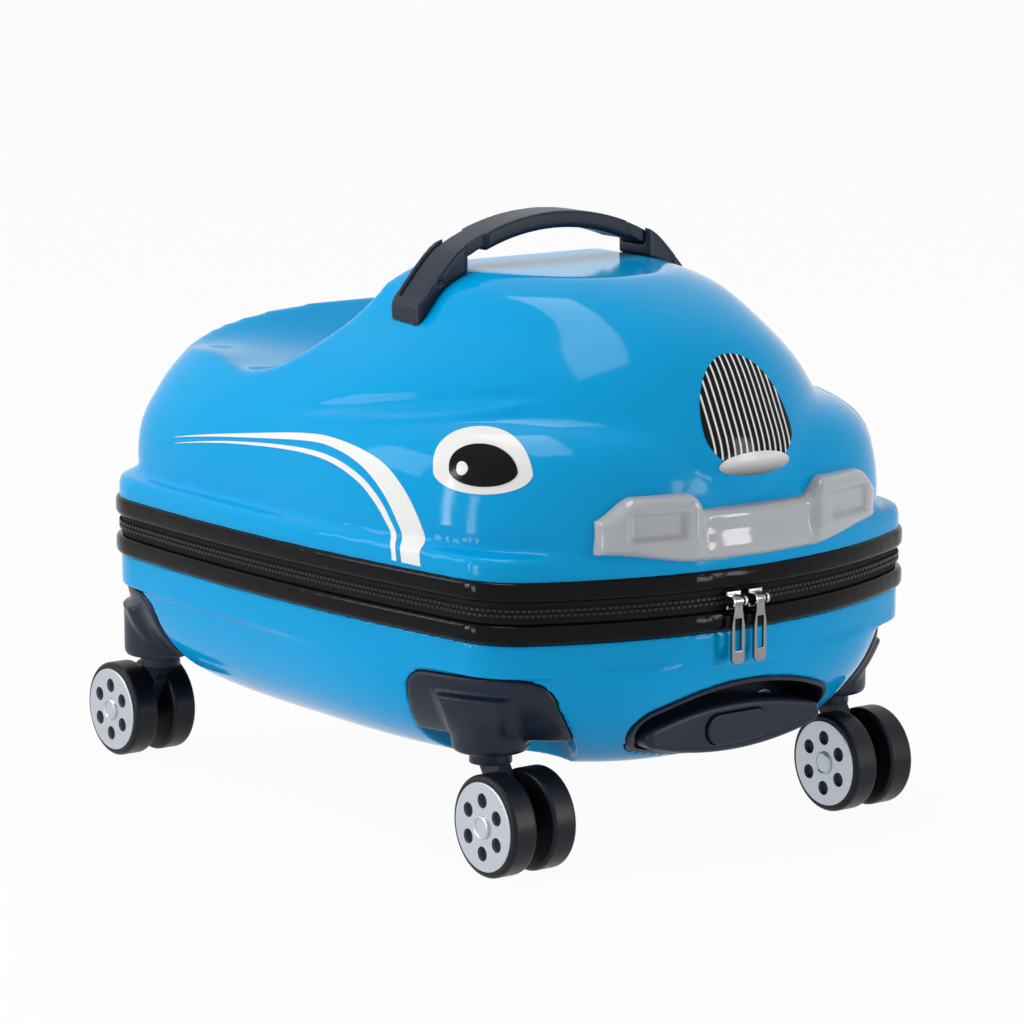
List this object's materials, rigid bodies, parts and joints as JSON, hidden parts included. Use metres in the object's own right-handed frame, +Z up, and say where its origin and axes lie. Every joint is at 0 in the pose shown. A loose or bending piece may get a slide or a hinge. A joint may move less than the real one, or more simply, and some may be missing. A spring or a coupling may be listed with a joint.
{
  "type": "ride on suitcase",
  "caption": "Car-shaped hard suitcase that a child sits on: saddle lid hinged on a zipped tub, swivel twin-wheel casters, carry handle and pull-out trolley grip.",
  "frame": {"origin": "on the floor under the middle of the whole object's box", "axes": "+X towards the front of the car, +Y to its left, +Z up"},
  "size_m": [0.434, 0.329, 0.325],
  "materials": {
    "blue_shell": "gloss moulded sheet",
    "grey_bumper": "gloss moulding",
    "black_trim": "gloss extrusion",
    "zip_tape": "woven tape",
    "zip_metal": "bright plated",
    "dark_plastic": "fine moulded grain",
    "steel": "plain",
    "silver_cap": "silver lacquer",
    "tyre": "satin",
    "tube": "anodised",
    "button_grey": "satin",
    "cover_plastic": "fine moulded grain"
  },
  "bodies": {
    "base": {"base_shell": "blue_shell", "lower_trim": "black_trim", "lower_zip_tape": "zip_tape", "hinge_lower_leaves": "dark_plastic", "hinge_pins": "steel", "trolley_dish": "dark_plastic", "trolley_outer_tubes": "tube", "tube_cover": "cover_plastic", "caster_housing_front_right": "dark_plastic", "caster_housing_front_left": "dark_plastic", "caster_housing_rear_right": "dark_plastic", "caster_housing_rear_left": "dark_plastic"},
    "lid": {"lid_shell": "blue_shell", "bumper": "grey_bumper", "upper_trim": "black_trim", "upper_zip_tape": "zip_tape", "hinge_upper_leaves": "dark_plastic", "carry_mounts": "dark_plastic", "carry_pins": "steel"},
    "carry": {"carry_handle": "dark_plastic"},
    "trolley_middle": {"trolley_middle_tubes": "tube"},
    "trolley": {"trolley_inner_tubes": "tube", "trolley_grip": "dark_plastic", "button_spring": "steel"},
    "button": {"trolley_button": "button_grey"},
    "caster_front_right": {"caster_fork_front_right": "dark_plastic", "caster_kingpin_front_right": "steel", "caster_axle_front_right": "steel"},
    "wheel_front_right_outer": {"wheel_front_right_outer": "tyre", "wheel_cap_front_right_outer": "silver_cap"},
    "wheel_front_right_inner": {"wheel_front_right_inner": "tyre", "wheel_cap_front_right_inner": "silver_cap"},
    "caster_front_left": {"caster_fork_front_left": "dark_plastic", "caster_kingpin_front_left": "steel", "caster_axle_front_left": "steel"},
    "wheel_front_left_outer": {"wheel_front_left_outer": "tyre", "wheel_cap_front_left_outer": "silver_cap"},
    "wheel_front_left_inner": {"wheel_front_left_inner": "tyre", "wheel_cap_front_left_inner": "silver_cap"},
    "caster_rear_right": {"caster_fork_rear_right": "dark_plastic", "caster_kingpin_rear_right": "steel", "caster_axle_rear_right": "steel"},
    "wheel_rear_right_outer": {"wheel_rear_right_outer": "tyre", "wheel_cap_rear_right_outer": "silver_cap"},
    "wheel_rear_right_inner": {"wheel_rear_right_inner": "tyre", "wheel_cap_rear_right_inner": "silver_cap"},
    "caster_rear_left": {"caster_fork_rear_left": "dark_plastic", "caster_kingpin_rear_left": "steel", "caster_axle_rear_left": "steel"},
    "wheel_rear_left_outer": {"wheel_rear_left_outer": "tyre", "wheel_cap_rear_left_outer": "silver_cap"},
    "wheel_rear_left_inner": {"wheel_rear_left_inner": "tyre", "wheel_cap_rear_left_inner": "silver_cap"},
    "zip_slider_right": {"zip_slider_right": "zip_metal"},
    "zip_pull_right": {"zip_pull_right": "zip_metal"},
    "zip_slider_left": {"zip_slider_left": "zip_metal"},
    "zip_pull_left": {"zip_pull_left": "zip_metal"}
  },
  "joints": [
    {"name": "lid_hinge", "type": "hinge", "parent": "base", "child": "lid", "pos_m": [-0.199, 0, 0.1405], "axis": [0, -1, 0], "range_deg": [0, 95]},
    {"name": "carry_lift", "type": "slide", "parent": "lid", "child": "carry", "axis": [0, 0, 1], "range_m": [0, 0.0025]},
    {"name": "trolley_first_pull", "type": "slide", "parent": "base", "child": "trolley_middle", "axis": [1, 0, 0], "range_m": [0, 0.25]},
    {"name": "trolley_second_pull", "type": "slide", "parent": "trolley_middle", "child": "trolley", "axis": [1, 0, 0], "range_m": [0, 0.25]},
    {"name": "button_press", "type": "slide", "parent": "trolley", "child": "button", "axis": [-1, 0, 0], "range_m": [0, 0.003], "stiffness_N_per_m": 300, "springref_m": -0.002, "deforming": ["button_spring"]},
    {"name": "swivel_front_right", "type": "hinge", "parent": "base", "child": "caster_front_right", "pos_m": [0.133, -0.1155, 0.06], "axis": [0, 0, 1], "continuous": true},
    {"name": "spin_front_right_outer", "type": "hinge", "parent": "caster_front_right", "child": "wheel_front_right_outer", "pos_m": [0.154, -0.1155, 0.027], "axis": [0, 1, 0], "continuous": true},
    {"name": "spin_front_right_inner", "type": "hinge", "parent": "caster_front_right", "child": "wheel_front_right_inner", "pos_m": [0.154, -0.1155, 0.027], "axis": [0, 1, 0], "continuous": true},
    {"name": "swivel_front_left", "type": "hinge", "parent": "base", "child": "caster_front_left", "pos_m": [0.133, 0.1155, 0.06], "axis": [0, 0, 1], "continuous": true},
    {"name": "spin_front_left_outer", "type": "hinge", "parent": "caster_front_left", "child": "wheel_front_left_outer", "pos_m": [0.154, 0.1155, 0.027], "axis": [0, 1, 0], "continuous": true},
    {"name": "spin_front_left_inner", "type": "hinge", "parent": "caster_front_left", "child": "wheel_front_left_inner", "pos_m": [0.154, 0.1155, 0.027], "axis": [0, 1, 0], "continuous": true},
    {"name": "swivel_rear_right", "type": "hinge", "parent": "base", "child": "caster_rear_right", "pos_m": [-0.169, -0.1275, 0.06], "axis": [0, 0, 1], "continuous": true},
    {"name": "spin_rear_right_outer", "type": "hinge", "parent": "caster_rear_right", "child": "wheel_rear_right_outer", "pos_m": [-0.19, -0.1275, 0.027], "axis": [0, 1, 0], "continuous": true},
    {"name": "spin_rear_right_inner", "type": "hinge", "parent": "caster_rear_right", "child": "wheel_rear_right_inner", "pos_m": [-0.19, -0.1275, 0.027], "axis": [0, 1, 0], "continuous": true},
    {"name": "swivel_rear_left", "type": "hinge", "parent": "base", "child": "caster_rear_left", "pos_m": [-0.169, 0.1275, 0.06], "axis": [0, 0, 1], "continuous": true},
    {"name": "spin_rear_left_outer", "type": "hinge", "parent": "caster_rear_left", "child": "wheel_rear_left_outer", "pos_m": [-0.19, 0.1275, 0.027], "axis": [0, 1, 0], "continuous": true},
    {"name": "spin_rear_left_inner", "type": "hinge", "parent": "caster_rear_left", "child": "wheel_rear_left_inner", "pos_m": [-0.19, 0.1275, 0.027], "axis": [0, 1, 0], "continuous": true},
    {"name": "zip_right", "type": "hinge", "parent": "base", "child": "zip_slider_right", "pos_m": [-0.051, 0, 0.1405], "axis": [0, 0, 1], "range_deg": [-20, 0]},
    {"name": "pull_right", "type": "hinge", "parent": "zip_slider_right", "child": "zip_pull_right", "pos_m": [0.21364, -0.01727, 0.1405], "axis": [-0.0651, -0.9979, 0], "range_deg": [0, 150]},
    {"name": "zip_left", "type": "hinge", "parent": "base", "child": "zip_slider_left", "pos_m": [-0.051, 0, 0.1405], "axis": [0, 0, 1], "range_deg": [0, 24]},
    {"name": "pull_left", "type": "hinge", "parent": "zip_slider_left", "child": "zip_pull_left", "pos_m": [0.21418, -0.00305, 0.1405], "axis": [-0.0115, -0.9999, 0], "range_deg": [0, 150]}
  ]
}
